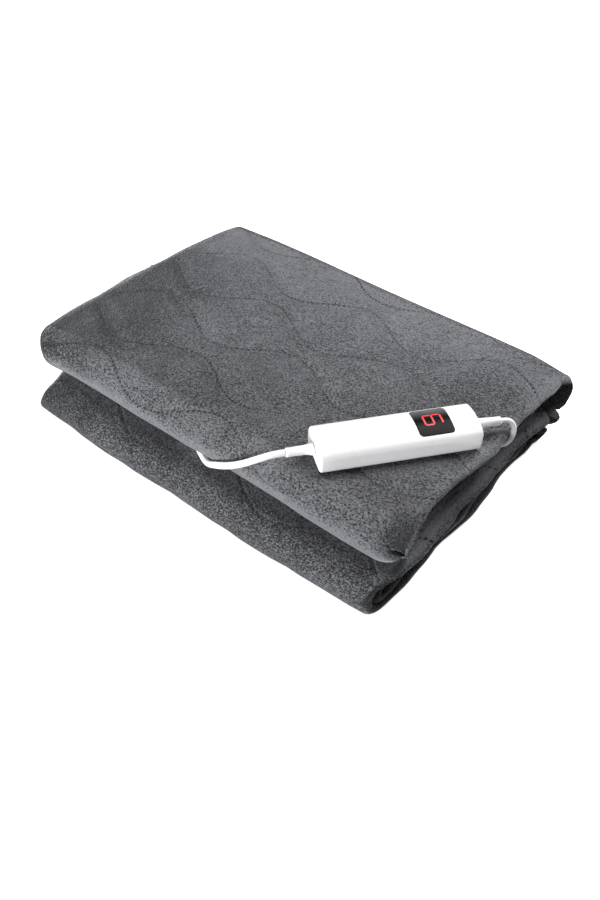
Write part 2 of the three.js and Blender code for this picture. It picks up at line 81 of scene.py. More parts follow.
# The top layer's back right corner is rounded and droops. The layers under it end farther in than it
# does, except at the front, where they reach out again.
TOP_CORNER = dict(cut=5.0, span=(142.0, 172.0), levels=(6.5, 7.5))
DROOP = dict(depth=5.0, x=(180.0, 230.0), y=(112.0, 168.0), levels=(5.0, 7.5))
REACH_OUT = dict(by=12.0, span=(88.0, 116.0), above=(3.9, 4.6), below=(6.6, 7.4))
# How the stack settles: shares of its height, and where.
SETTLE = dict(
    crown=0.022, reach=(235.0, 170.0), unevenness=0.007,
    left_sink=0.045, left=(150.0, 232.0), back_sink=0.022, back=(95.0, 165.0),
)
DENT = dict(depth=0.042, half_length=84.0, half_width=31.0)
# A ply's rounded hem: how far in from its edge, and share of the full thickness there.
HEM = [(0.0, 0.0), (0.2, 0.38), (0.7, 0.68), (1.5, 0.9), (2.65, 1.0)]
CONTROL = dict(length=148.0, half_width=22.0, height=25.0, x=160.4, y=-49.0, z=96.9, turn=53.3)
CONTROL_AXIS = (math.cos(math.radians(CONTROL["turn"])), math.sin(math.radians(CONTROL["turn"])))
WINDOW = dict(length=33.0, width=34.5, corner=4.0, centre=32.5)
RELIEF_HEIGHT = 12.0
# Strain reliefs: distance from the housing, and radius.
MAINS_SLEEVE = [
    (0.0, 5.6), (0.4, 6.1), (1.6, 5.9), (3.6, 5.2), (6.0, 4.65), (8.6, 4.4), (9.4, 4.2),
    (10.2, 4.4), (12.4, 4.35), (13.2, 4.15), (14.0, 4.33), (16.2, 4.3), (17.0, 4.1),
    (17.8, 4.27), (20.4, 4.2), (21.0, 4.35), (24.5, 4.3), (25.0, 3.9), (25.0, 3.4),
]
LEAD_SLEEVE = [
    (0.0, 5.4), (0.4, 5.9), (2.0, 5.8), (2.4, 5.1), (3.4, 5.1), (3.8, 5.35), (7.6, 5.0),
    (8.4, 4.8), (9.2, 4.93), (12.2, 4.75), (13.0, 4.55), (13.8, 4.68), (16.8, 4.5),
    (17.6, 4.3), (18.4, 4.43), (24.4, 4.2), (25.0, 3.8), (25.0, 2.6),
]
PLUG_SLEEVE = [
    (0.0, 5.4), (0.6, 5.7), (4.0, 5.5), (5.0, 4.9), (7.4, 5.3), (8.4, 4.8), (10.8, 5.1),
    (11.8, 4.6), (14.2, 4.9), (15.2, 4.4), (17.6, 4.6), (21.4, 4.2), (22.0, 3.8), (22.0, 3.4),
]
MAINS_D = 6.5
LEAD_D = 5.0
COIL = dict(x=-277.0, y=122.0, mean=35.0, lift=1.3, turns=6)
DIGIT = dict(x=0.6, y=0.4, tall=16.0, wide=12.4, stroke=1.55)
PLUG = dict(x=-244.0, y=190.0, turn=14.0, length=36.0, width=35.0, height=13.6)
GAP = 0.3
# The camera's place in metres, and its angles in degrees.
CAMERA = dict(place=(0.47903, -0.59016, 0.65451), azimuth=37.947, elevation=42.139, roll=1.971)

MAINS_ROUTE = [
    (100.7, -128.9, 108.9), (93.5, -138.4, 108.2), (85.0, -146.8, 104.2), (74.5, -151.8, 96.8),
    (62.0, -153.8, 88.0), (48.5, -152.6, 78.6), (35.5, -149.2, 69.4), (24.0, -144.8, 60.9),
    (13.0, -138.6, 54.6), (1.0, -131.4, 51.0), (-15.0, -122.6, 49.7), (-36.0, -110.5, 49.3),
    (-66.0, -92.0, 49.3), (-102.0, -70.0, 49.3), (-140.0, -47.5, 49.3), (-178.0, -24.0, 49.0),
    (-208.0, -4.5, 47.6), (-226.0, 10.5, 46.2), (-238.5, 27.0, 41.8), (-243.5, 45.0, 34.0),
    (-244.0, 62.0, 22.0), (-241.5, 79.0, 10.5), (-237.0, 96.0, 5.0),
]
MAINS_TAIL = [(-233.5, 143.5, 10.6), (-234.0, 150.5, 9.4), (-235.6, 158.5, 7.6), (-238.4, 167.8, 6.8)]
LEAD_ROUTE = [
    (220.2, 31.0, 108.9), (223.4, 35.2, 108.5), (226.7, 38.6, 106.0), (229.2, 40.2, 101.4),
    (230.4, 40.0, 95.8), (230.2, 38.6, 90.2), (228.6, 36.6, 85.2), (225.6, 34.4, 81.4), (222.0, 32.8, 79.4),
]


def to_frame(point):
    return tuple((p + s) * MM for p, s in zip(point, SHIFT))


# ---------- Camera ----------
def add_object(name, data):
    thing = bpy.data.objects.new(name, data)
    bpy.context.scene.collection.objects.link(thing)
    return thing


def place_camera():
    data = bpy.data.cameras.new("camera")
    data.sensor_width = 36.0
    data.lens = 37.834
    data.clip_start = 0.01
    data.clip_end = 50.0
    camera = add_object("camera", data)
    azimuth, elevation, roll = (math.radians(CAMERA[name]) for name in ("azimuth", "elevation", "roll"))
    turned = Matrix.Rotation(azimuth, 4, "Z") @ Matrix.Rotation(math.pi / 2 - elevation, 4, "X")
    turned = turned @ Matrix.Rotation(roll, 4, "Z")
    camera.matrix_world = Matrix.Translation(CAMERA["place"]) @ turned
    bpy.context.scene.camera = camera


# ---------- Shader helpers ----------
class Nodes:
    """A material's node tree, with short calls to add nodes."""

    def __init__(self, name):
        self.material = bpy.data.materials.new(name)
        self.material.use_nodes = True
        self.tree = self.material.node_tree
        self.shader = self.tree.nodes["Principled BSDF"]
        self.place = self.add("TexCoord").outputs["Object"]

    def add(self, kind, **settings):
        node = self.tree.nodes.new("ShaderNode" + kind)
        for key, value in settings.items():
            setattr(node, key, value)
        return node

    def feed(self, socket, value):
        if hasattr(value, "is_output"):
            self.tree.links.new(value, socket)
        elif value is not None:
            socket.default_value = value

    def math(self, operation, a, b=None, c=None):
        node = self.add("Math", operation=operation)
        for socket, value in zip(node.inputs, (a, b, c)):
            self.feed(socket, value)
        return node.outputs[0]

    def noise(self, vector, scale, detail=2.0, roughness=0.5, distortion=0.0):
        node = self.add("TexNoise")
        self.feed(node.inputs["Vector"], vector)
        numbers = dict(Scale=scale, Detail=detail, Roughness=roughness, Distortion=distortion)
        for name, number in numbers.items():
            node.inputs[name].default_value = number
        return node.outputs["Fac"]

    def remap(self, value, low, high, to_low=0.0, to_high=1.0, smooth=True):
        node = self.add("MapRange")
        node.interpolation_type = "SMOOTHSTEP" if smooth else "LINEAR"
        self.feed(node.inputs["Value"], value)
        for name, number in zip(("From Min", "From Max", "To Min", "To Max"), (low, high, to_low, to_high)):
            node.inputs[name].default_value = number
        return node.outputs["Result"]

    def mix(self, factor, a, b):
        node = self.add("Mix", data_type="RGBA")
        self.feed(node.inputs[0], factor)
        self.feed(node.inputs[6], a)
        self.feed(node.inputs[7], b)
        return node.outputs[2]

    def bump(self, height, strength, distance):
        node = self.add("Bump")
        node.inputs["Strength"].default_value = strength
        node.inputs["Distance"].default_value = distance
        self.feed(node.inputs["Height"], height)
        return node.outputs["Normal"]

    def set(self, **values):
        for name, value in values.items():
            self.feed(self.shader.inputs[name.replace("_", " ")], value)


def rgb(r, g, b):
    return (r, g, b, 1.0)


# The stitched lines, in metres: how far they wander, half the groove's width, where the thread's edge
# fades, and a stitch's length.
STITCHED = dict(wander=0.004, groove=0.0030, thread=(0.0006, 0.0015), stitch=0.0046)


def fleece():
    """Short brushed pile, mottled where it lies in different directions, with stitched lines sunk in it,
    painted shade in their grooves, and painted light and shade added from a per-point attribute.
    """
    n = Nodes("fleece")
    cloth = n.add("UVMap", uv_map="cloth").outputs["UV"]
    split = n.add("SeparateXYZ")
    n.feed(split.inputs[0], cloth)
    along, across = split.outputs[0], split.outputs[1]
    # The stitched lines: distance from the nearest.
    turn = 2 * math.pi / (QUILT["length"] * MM)
    phase = n.math("MULTIPLY", n.math("SUBTRACT", along, QUILT["crest"] * MM), turn)
    wave = n.math("MULTIPLY", n.math("COSINE", phase), QUILT["wave"] * MM)
    slope = n.math("MULTIPLY", n.math("SINE", phase), QUILT["wave"] * MM * turn)
    lean = n.math("SQRT", n.math("MULTIPLY_ADD", slope, slope, 1.0))
    pitch = 2 * QUILT["pitch"] * MM
    wander = n.math("SUBTRACT", n.noise(n.place, 60.0), 0.5)
    across = n.math("MULTIPLY_ADD", wander, STITCHED["wander"], across)
    lines = []
    for sign, start in ((1.0, QUILT["first"]), (-1.0, QUILT["first"] + QUILT["pitch"])):
        shifted = n.math("MULTIPLY_ADD", wave, sign, across)
        shifted = n.math("SUBTRACT", shifted, start * MM - pitch / 2 - 10 * pitch)
        lines.append(n.math("ABSOLUTE", n.math("SUBTRACT", n.math("MODULO", shifted, pitch), pitch / 2)))
    away = n.math("DIVIDE", n.math("MINIMUM", lines[0], lines[1]), lean)
    groove = n.remap(away, 0.0, STITCHED["groove"], 1.0, 0.0)
    thread = n.remap(away, *STITCHED["thread"], 1.0, 0.0)
    stitch = n.math("SINE", n.math("MULTIPLY", along, 2 * math.pi / STITCHED["stitch"]))
    stitch = n.remap(stitch, -0.4, 0.3, 0.10, 1.0)
    shows = n.remap(n.noise(n.place, 17.0, 1.0), 0.38, 0.58, 0.38, 1.0)
    mark = n.math("MULTIPLY", n.math("MULTIPLY", thread, stitch), shows)
    # The pile: short ridges brushed one way, finer hairs on them, and broad patches.
    lay = n.add("Mapping", vector_type="POINT")
    n.feed(lay.inputs["Vector"], n.place)
    lay.inputs["Rotation"].default_value = (0.0, 0.0, math.radians(-38.0))
    lay.inputs["Scale"].default_value = (0.6, 1.0, 0.9)
    lay = lay.outputs["Vector"]
    tufts = n.noise(lay, 700.0, 1.0, 0.6, 0.4)
    hairs = n.noise(lay, 1000.0, 1.0, 0.6, 0.4)
    clumps = n.noise(n.place, 110.0, 2.0, 0.5, 0.8)
    brushed = n.noise(n.place, 24.0, 3.0, 0.6, 0.8)
    broad = n.noise(n.place, 8.0, 2.0, 0.5)
    # Each changes the tone about a middle grey, by its own strength.
    tone = 0.5
    for cloud, strength in ((tufts, 2.3), (hairs, 2.4), (clumps, 0.30), (brushed, 0.60), (broad, 0.25)):
        tone = n.math("MULTIPLY_ADD", n.math("SUBTRACT", cloud, 0.5), strength, tone)
    # The attribute read here carries painted light and shade, added to the tone.
    painted_shading = n.add("Attribute", attribute_name="painted_shading", attribute_type="GEOMETRY").outputs["Fac"]
    tone = n.math("ADD", tone, painted_shading)
    tone = n.remap(tone, 0.0, 1.0, smooth=False)
    colour = n.mix(tone, rgb(0.018, 0.0185, 0.020), rgb(0.172, 0.175, 0.187))
    # Painted shade: the cloth's colour darkens in the groove along each stitched line.
    colour = n.mix(n.math("MULTIPLY", groove, 0.12), colour, rgb(0.045, 0.046, 0.052))
    colour = n.mix(n.math("MULTIPLY", mark, 0.95), colour, rgb(0.010, 0.010, 0.012))
    height = n.math("MULTIPLY_ADD", tufts, 0.8, n.math("MULTIPLY", hairs, 0.35))
    height = n.math("MULTIPLY_ADD", groove, -0.3, height)
    height = n.math("MULTIPLY_ADD", brushed, 0.8, height)
    n.set(
        Base_Color=colour,
        Roughness=0.95,
        Normal=n.bump(height, strength=0.7, distance=0.0020),
        Sheen_Weight=0.65,
        Sheen_Roughness=0.38,
        Sheen_Tint=rgb(0.80, 0.82, 0.88),
        Specular_IOR_Level=0.15,
    )
    return n.material


def plastic(name, base, roughness, coat=0.0, speck=900.0):
    """Moulded plastic: a faint moulded grain and slight unevenness in its gloss."""
    n = Nodes(name)
    cloud = n.noise(n.place, 30.0, 2.0)
    dark = tuple(0.965 * c for c in base)
    n.set(
        Base_Color=n.mix(cloud, rgb(*dark), rgb(*base)),
        Roughness=n.remap(cloud, 0.3, 0.7, roughness - 0.03, roughness + 0.04),
        Normal=n.bump(n.noise(n.place, speck, 1.0), strength=0.02, distance=0.0002),
        Specular_IOR_Level=0.5,
        Coat_Weight=coat,
        Coat_Roughness=0.08,
    )
    return n.material


def window_glass():
    """Dark window with a painted reflection along one side, where its colour is lighter."""
    n = Nodes("window_glass")
    split = n.add("SeparateXYZ")
    n.feed(split.inputs[0], n.add("UVMap", uv_map="pane").outputs["UV"])
    # Painted reflection: the pane's colour lightens toward one side.
    painted_reflection = n.remap(split.outputs[1], 0.52, 1.02)
    cloud = n.noise(n.place, 60.0, 2.0)
    painted_reflection = n.math("MULTIPLY", painted_reflection, n.remap(cloud, 0.2, 0.8, 0.8, 1.1))
    n.set(
        Base_Color=n.mix(painted_reflection, rgb(0.003, 0.003, 0.0035), rgb(0.135, 0.137, 0.140)),
        Roughness=n.remap(cloud, 0.3, 0.7, 0.22, 0.30),
        Specular_IOR_Level=0.04,
    )
    return n.material


def glow():
    n = Nodes("display_glow")
    cloud = n.noise(n.place, 700.0, 1.0)
    n.set(
        Base_Color=rgb(0.5, 0.01, 0.01),
        Emission_Color=n.mix(cloud, rgb(0.80, 0.012, 0.012), rgb(1.0, 0.045, 0.03)),
        Emission_Strength=0.5,
        Roughness=0.5,
    )
    return n.material


def woven_tie():
    n = Nodes("woven_tie")
    wave = n.add("TexWave", wave_type="BANDS", bands_direction="DIAGONAL")
    n.feed(wave.inputs["Vector"], n.place)
    wave.inputs["Scale"].default_value = 900.0
    cloud = n.noise(n.place, 500.0, 2.0)
    n.set(
        Base_Color=n.mix(cloud, rgb(0.008, 0.008, 0.009), rgb(0.030, 0.030, 0.032)),
        Roughness=0.85,
        Normal=n.bump(wave.outputs["Fac"], strength=0.4, distance=0.0003),
    )
    return n.material


def plated():
    n = Nodes("plated_pin")
    cloud = n.noise(n.place, 260.0, 3.0)
    n.set(
        Base_Color=n.mix(cloud, rgb(0.55, 0.55, 0.56), rgb(0.72, 0.72, 0.73)),
        Metallic=1.0,
        Roughness=n.remap(cloud, 0.3, 0.7, 0.18, 0.32),
    )
    return n.material


# ---------- Mesh helpers ----------
def make_object(name, vertices, faces, material, smooth=True):
    mesh = bpy.data.meshes.new(name)
    mesh.from_pydata([tuple(v) for v in vertices], [], faces)
    mesh.validate()
    if smooth:
        mesh.shade_smooth()
    mesh.materials.append(material)
    return add_object(name, mesh)


def attach(piece, slot, *nodes):
    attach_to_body(piece, "root")
    if nodes:
        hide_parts(*nodes)
    return piece


def blend(start, end, share):
    return start + (end - start) * share


def smoothstep(value, low, high):
    t = np.clip((value - low) / (high - low), 0.0, 1.0)
    return t * t * (3.0 - 2.0 * t)


def spline_points(points, step):
    """Points at even steps on a centripetal Catmull-Rom curve through the given ones."""
    given = np.array(points, dtype=float)
    ends = np.vstack([2 * given[0] - given[1], given, 2 * given[-1] - given[-2]])
    found = []
    for p0, p1, p2, p3 in zip(ends, ends[1:], ends[2:], ends[3:]):
        t0 = 0.0
        t1 = t0 + np.linalg.norm(p1 - p0) ** 0.5
        t2 = t1 + np.linalg.norm(p2 - p1) ** 0.5
        t3 = t2 + np.linalg.norm(p3 - p2) ** 0.5
        for t in np.linspace(t1, t2, 16, endpoint=False):
            a1 = blend(p0, p1, (t - t0) / (t1 - t0))
            a2 = blend(p1, p2, (t - t1) / (t2 - t1))
            a3 = blend(p2, p3, (t - t2) / (t3 - t2))
            b1 = blend(a1, a2, (t - t0) / (t2 - t0))
            b2 = blend(a2, a3, (t - t1) / (t3 - t1))
            found.append(blend(b1, b2, (t - t1) / (t2 - t1)))
    found.append(given[-1])
    found = np.array(found)
    lengths = np.r_[0.0, np.cumsum(np.linalg.norm(np.diff(found, axis=0), axis=1))]
    even = np.linspace(0.0, lengths[-1], max(2, int(round(lengths[-1] / step)) + 1))
    return np.stack([np.interp(even, lengths, found[:, k]) for k in range(3)], axis=1)


# ---------- Cords ----------
def cord_curve(name, points, diameter, material):
    data = bpy.data.curves.new(name, "CURVE")
    data.dimensions = "3D"
    data.bevel_depth = diameter * MM / 2
    data.bevel_resolution = 4
    data.use_fill_caps = True
    spline = data.splines.new("POLY")
    spline.points.add(len(points) - 1)
    for target, point in zip(spline.points, points):
        target.co = (*to_frame(point), 1.0)
    spline.use_smooth = True
    data.materials.append(material)
    return add_object(name, data)


def wound_turns():
    """Six turns, three side by side and two high: in along the bottom layer, out along the top one."""
    centre = np.array((COIL["x"], COIL["y"]))
    enters, leaves = MAINS_ROUTE[-1][:2] - centre, MAINS_TAIL[0][:2] - centre
    start, end = math.atan2(enters[1], enters[0]), math.atan2(leaves[1], leaves[0])
    start_radius, end_radius = math.hypot(*enters), math.hypot(*leaves)
    total = 360.0 * COIL["turns"] + math.degrees(end - start)
    d = MAINS_D
    low, high = COIL["lift"] + d / 2, COIL["lift"] + 1.5 * d
    outer, middle, inner = COIL["mean"] + d, COIL["mean"], COIL["mean"] - d
    # degrees wound so far, radius, height
    marks = [
        (0, start_radius, MAINS_ROUTE[-1][2]), (50, outer, low), (330, outer, low), (395, middle, low),
        (690, middle, low), (755, inner, low), (1010, inner, low), (1110, inner, high),
        (1400, inner, high), (1470, middle, high), (1760, middle, high), (1830, outer, high),
        (total - 50, outer, high), (total, end_radius, MAINS_TAIL[0][2]),
    ]
    degrees = np.arange(8.0, total - 7.0, 8.0)
    column = np.array(marks).T
    points = []
    for angle in degrees:
        k = int(np.searchsorted(column[0], angle, side="right")) - 1
        t = float(smoothstep(angle, column[0][k], column[0][k + 1]))
        radius = blend(column[1][k], column[1][k + 1], t)
        z = blend(column[2][k], column[2][k + 1], t)
        at = start + math.radians(angle)
        points.append((COIL["x"] + radius * math.cos(at), COIL["y"] + radius * math.sin(at), z))
    return points


def build_cords(jacket, shell, pin_metal, tie_material):
    mains_points = spline_points([*MAINS_ROUTE, *wound_turns(), *MAINS_TAIL], 2.5)
    mains = cord_curve("mains_cord", mains_points, MAINS_D, jacket)
    attach(mains, "jacket", "mains_lead", "mains_coil", "mains_tail")
    build_plug(shell, pin_metal) + [build_tie(tie_material)]
    lead_points = spline_points(LEAD_ROUTE, 1.0)
    lead = attach(cord_curve("blanket_cord", lead_points, LEAD_D, jacket), "jacket", "blanket_lead")


# ---------- Turned and lofted pieces ----------
def placed(points, origin, turn=0.0):
    """Points of a piece, turned about Z and moved to its place, in metres in the frame."""
    c, s = math.cos(math.radians(turn)), math.sin(math.radians(turn))
    points = np.asarray(points, dtype=float)
    x = points[:, 0] * c - points[:, 1] * s + origin[0]
    y = points[:, 0] * s + points[:, 1] * c + origin[1]
    return (np.stack([x, y, points[:, 2] + origin[2]], axis=1) + SHIFT) * MM


def ring_faces(rings, count, closed=False):
    """Faces between rings of points, with a cap at each end unless the last ring meets the first."""
    faces = []
    for i in range(rings if closed else rings - 1):
        a, b = i * count, (i + 1) % rings * count
        for j in range(count):
            k = (j + 1) % count
            faces.append((a + j, a + k, b + k, b + j))
    if not closed:
        faces.append(tuple(range(count))[::-1])
        faces.append(tuple((rings - 1) * count + j for j in range(count)))
    return faces


def sleeve(name, profile, origin, turn, material, heading=1.0):
    """A strain relief turned about the local X axis."""
    count = 40
    points = []
    for x, r in profile:
        for j in range(count):
            a = 2 * math.pi * j / count
            points.append((heading * x, r * math.cos(a), r * math.sin(a)))
    faces = ring_faces(len(profile), count)
    if heading < 0:
        faces = [f[::-1] for f in faces]
    piece = make_object(name, placed(points, origin, turn), faces, material)
    soften = piece.modifiers.new("soften", "SUBSURF")
    soften.levels = soften.render_levels = 1
    return piece


def build_plug(shell, pin_metal):
    length, width, height = PLUG["length"], PLUG["width"], PLUG["height"]
    count, squareness = 56, 4.5
    points, rings = [], []
    for t in (0.0, 0.004, 0.02, 0.06, 0.12, 0.2, 0.3, 0.4, 0.48, 0.55, 0.62, 0.75, 0.88, 0.95, 0.985, 1.0):
        half = width * (0.2 + 0.3 * (1 - (1 - min(t / 0.55, 1.0)) ** 1.7))
        thick = height / 2 * (0.86 + 0.14 * float(smoothstep(t, 0.0, 0.5)))
        round_off = 2.0 * (1 - math.sqrt(max(0.0, 1 - (1 - min(t / 0.06, 1.0)) ** 2)))
        round_off += 1.6 * (1 - math.sqrt(max(0.0, 1 - (1 - min((1 - t) / 0.05, 1.0)) ** 2)))
        rings.append((t * length, half - round_off, thick - round_off))
    for y, a, b in rings:
        for j in range(count):
            angle = 2 * math.pi * j / count
            c, s = math.cos(angle), math.sin(angle)
            power = 2 / squareness
            x = a * math.copysign(abs(c) ** power, c)
            z = b * math.copysign(abs(s) ** power, s)
            points.append((x, y, height / 2 + z))
    faces = [f[::-1] for f in ring_faces(len(rings), count)]
    origin = (PLUG["x"], PLUG["y"], 0.0)
    case = make_object("plug_case", placed(points, origin, PLUG["turn"]), faces, shell)
    attach(case, "shell", "plug_body")
    back = math.radians(PLUG["turn"])
    start = (PLUG["x"] + GAP * math.sin(back), PLUG["y"] - GAP * math.cos(back), height / 2)
    relief = sleeve("plug_sleeve", PLUG_SLEEVE, start, PLUG["turn"] - 90, shell)
    attach(relief, "shell", "plug_relief")
    pins = [bpy.data.objects[name] for name in ("plug_pin_a", "plug_pin_b")]
    for pin in pins:
        for holder in pin.material_slots:
            holder.material = pin_metal
    return [case, relief, *pins]


def build_tie(material):
    """A hook-and-loop band closed round the coil's section, with the end of its flap lifting a little."""
    across, high = 3 * MAINS_D + 2.2, 2 * MAINS_D + 0.6
    thick, wide, corner = 0.9, 10.0, 3.0
    line = []
    for cx, cz, start in (
        (across / 2 - corner, corner, -90), (across / 2 - corner, high - corner, 0),
        (-across / 2 + corner, high - corner, 90), (-across / 2 + corner, corner, 180),
    ):
        for k in range(7):
            a = math.radians(start + 15 * k)
            line.append((cx, cz, math.cos(a), math.sin(a)))
    points, count = [], 4
    flap_start, flap_length, flap_thick = -6.0, 15.0, 0.8
    for cx, cz, nx, nz in line:
        for side, out in ((-1, corner), (1, corner), (1, corner + thick), (-1, corner + thick)):
            points.append((COIL["mean"] + cx + nx * out, side * wide / 2, cz + nz * out))
    faces = ring_faces(len(line), count, closed=True)
    flap = []
    for t in np.linspace(0.0, 1.0, 9):
        x = COIL["mean"] + flap_start + flap_length * t
        z = high + thick + 0.1 + 0.3 * t**3
        for lift, side in ((0.0, -1), (0.0, 1), (flap_thick, 1), (flap_thick, -1)):
            flap.append((x, side * wide / 2, z + lift))
    faces += [tuple(len(points) + v for v in face) for face in ring_faces(9, count)]
    points += flap
    origin = (COIL["x"], COIL["y"], COIL["lift"] - 0.3)
    band = make_object("tie_band", placed(points, origin, 200.0), faces, material, smooth=False)
    soften = band.modifiers.new("soften", "BEVEL")
    soften.width = 0.25 * MM
    soften.segments = 2
    return attach(band, "tie", "coil_tie")


# ---------- The controller ----------
# The case's section: its crown spans the middle, its shoulders come down to the side, its foot is rounded.
CROWN = dict(half_width=15.0, edge=23.1, pull=26.9)
SHOULDER = dict(foot=14.0, pull=21.6)
FOOT = [(17.0, 0.0), (21.5, 0.5), (22.0, 6.0)]


def bezier(t, start, pull, end):
    return (1 - t) ** 2 * start + 2 * t * (1 - t) * pull + t**2 * end


def top_height(y):
    """Height of the case's crowned top over its base, across it."""
    y = abs(y)
    if y <= CROWN["half_width"]:
        return bezier((1 - y / CROWN["half_width"]) / 2, CROWN["edge"], CROWN["pull"], CROWN["edge"])
    width = CONTROL["half_width"] - CROWN["half_width"]
    t = math.sqrt(max(0.0, (CONTROL["half_width"] - y) / width))
    return bezier(t, SHOULDER["foot"], SHOULDER["pull"], CROWN["edge"])


def case_section():
    side = CONTROL["half_width"]
    half = [(0.0, 0.0), (8.0, 0.0), (14.0, 0.0)]
    for t in np.linspace(0.0, 1.0, 9):
        half.append(tuple(bezier(t, *coordinate) for coordinate in zip(*FOOT)))
    half += [(side, 9.0), (side, 11.5)]
    for share in np.linspace(0.0, 1.0, 15):
        across = side - (side - CROWN["half_width"]) * share**2
        half.append((across, top_height(across)))
    half += [(y, top_height(y)) for y in (13.0, 11.0, 9.0, 7.0, 5.0, 3.0, 1.0)]
    mirrored = [(-y, z) for y, z in half[:0:-1]]
    return half + mirrored


def on_controller(name, points, faces, material, smooth=True):
    origin = (CONTROL["x"], CONTROL["y"], CONTROL["z"])
    return make_object(name, placed(points, origin, CONTROL["turn"]), faces, material, smooth)


def build_controller(shell, glass, glow_material):
    section = case_section()
    middle = CONTROL["height"] / 2
    points = []
    edge = 2.5
    quarter = [math.radians(a) for a in range(0, 91, 15)]
    ends = [(edge * (1 - math.cos(a)), edge * (1 - math.sin(a))) for a in quarter]
    places = [(-CONTROL["length"] / 2 + x, inset) for x, inset in ends]
    places += [(x, 0.0) for x in np.linspace(-60.0, 60.0, 13)]
    places += [(CONTROL["length"] / 2 - x, inset) for x, inset in reversed(ends)]
    for x, inset in places:
        for y, z in section:
            scale_y = (CONTROL["half_width"] - inset) / CONTROL["half_width"]
            scale_z = (middle - inset) / middle
            points.append((x, y * scale_y, middle + (z - middle) * scale_z))
    case = on_controller("controller_case", points, ring_faces(len(places), len(section)), shell)
    attach(case, "shell", "controller_body")
    build_window(glass)
    build_digit(glow_material)
    c, s = CONTROL_AXIS
    reach = CONTROL["length"] / 2 + GAP
    for name, profile, node, heading in (
        ("lead_sleeve", LEAD_SLEEVE, "lead_relief", 1.0),
        ("mains_sleeve", MAINS_SLEEVE, "mains_relief", -1.0),
    ):
        out = heading * reach
        at = (CONTROL["x"] + out * c, CONTROL["y"] + out * s, CONTROL["z"] + RELIEF_HEIGHT)
        attach(sleeve(name, profile, at, CONTROL["turn"], shell, heading), "shell", node)


def build_window(glass):
    a, b, r = WINDOW["length"] / 2, WINDOW["width"] / 2, WINDOW["corner"]
    outline = []
    # each corner's centre, the angle that its arc starts at, and where the next corner's arc starts
    corners = [
        ((a - r, -b + r), -90, (a, b - r)), ((a - r, b - r), 0, (-a + r, b)),
        ((-a + r, b - r), 90, (-a, -b + r)), ((-a + r, -b + r), 180, (a - r, -b)),
    ]
    for (cx, cy), start, following in corners:
        for k in range(9):
            t = math.radians(start + 11.25 * k)
            outline.append((cx + r * math.cos(t), cy + r * math.sin(t)))
        last = outline[-1]
        for k in (0.2, 0.4, 0.6, 0.8):
            outline.append((blend(last[0], following[0], k), blend(last[1], following[1], k)))
    count = len(outline)
    points, pane = [], []
    # rings of points: three by inset and lift, then those of the top by their share of the outline
    layers = [(0.0, -1.2), (0.0, 0.02), (0.25, 0.2)]
    layers += [(None, share) for share in (0.97, 0.85, 0.7, 0.5, 0.3, 0.1)]
    for inset, value in layers:
        for x, y in outline:
            if inset is None:
                px, py, lift = x * value, y * value, 0.22
            else:
                px, py, lift = x * (1 - inset / a), y * (1 - inset / b), value
            points.append((WINDOW["centre"] + px, py, top_height(py) + lift))
            pane.append((0.5 + px / (2 * a), 0.5 + py / (2 * b)))
    faces = ring_faces(len(layers), count)
    piece = on_controller("display_pane", points, faces, glass)
    layer = piece.data.uv_layers.new(name="pane")
    for loop in piece.data.loops:
        layer.data[loop.index].uv = pane[loop.vertex_index]
    attach(piece, "window", "display_window")


def build_digit(material):
    """The setting, a seven-segment 6 that reads along the case: its top is towards the blanket lead."""
    tall, wide, stroke = DIGIT["tall"], DIGIT["wide"], DIGIT["stroke"]
    middle = (WINDOW["centre"] + DIGIT["x"], DIGIT["y"])
    # each segment from and to, as shares of the digit's half width (to the right) and half height (up)
    segments = [
        ((-1, 1), (1, 1)), ((-1, 0), (-1, 1)), ((-1, 0), (1, 0)),
        ((-1, -1), (-1, 0)), ((1, -1), (1, 0)), ((-1, -1), (1, -1)),
    ]
    # along a segment, whose ends taper: share of the way, and share of its full width there
    shares = [(0.0, 0.06), (0.07, 1.0), *((t, 1.0) for t in np.linspace(0.15, 0.85, 8))]
    shares += [(0.93, 1.0), (1.0, 0.06)]
    points, faces = [], []
    for (r0, u0), (r1, u1) in segments:
        start = np.array((middle[0] + u0 * tall / 2, middle[1] - r0 * wide / 2))
        end = np.array((middle[0] + u1 * tall / 2, middle[1] - r1 * wide / 2))
        run = (end - start) / np.linalg.norm(end - start)
        side = np.array((-run[1], run[0])) * stroke / 2
        start, end = start + run * stroke * 0.2, end - run * stroke * 0.2
        base = len(points)
        for t, wideness in shares:
            at = blend(start, end, t)
            for sign, lift in ((-1, 0.1), (1, 0.1), (1, 0.42), (-1, 0.42)):
                x, y = at + sign * side * wideness
                points.append((x, y, top_height(y) + lift))
        faces += [tuple(base + v for v in face) for face in ring_faces(len(shares), 4)]
    attach(on_controller("display_digit", points, faces, material, smooth=False), "window")


# ---------- The folded cloth ----------
# A level counts layers from the floor: layer n fills the levels from n to n + 1.
EDGE_LEVEL = (1 - FILL) / 2
# A layer is two plies: their outer and inner faces, in layers from the layer's middle.
PLY = dict(outer=0.465, inner=0.03)
# The plies' round fold at the right end: where it starts, its middle's reach and half its thickness.
ROUND_END = 5.0
END_FOLD = dict(middle=2.6, half=2.4)
# Where the top of the stack and the two front folds come in the fold path.
TOP_RUN, UPPER_FOLD, LOWER_FOLD = 2, 3, 7
# Hidden layers take their pattern of lines from a part of the cloth this far off.
HIDDEN_ALONG = 1000.0


def height_of(level, x):
    opened = 1 - smoothstep(x, *STACK["narrows"])
    lower = blend(STACK["lower_right"], STACK["lower_left"], opened)
    space = blend(STACK["space_right"], STACK["space_left"], opened)
    half = LAYERS / 2
    span = half - 2 * EDGE_LEVEL
    upper_start = half + EDGE_LEVEL
    low = (level - EDGE_LEVEL) * lower / span
    high = lower + space + (level - upper_start) * (STACK["top"] - lower - space) / span
    between = lower + space * (level - half + EDGE_LEVEL) / (2 * EDGE_LEVEL)
    return np.where(level <= half - EDGE_LEVEL, low, np.where(level >= upper_start, high, between))


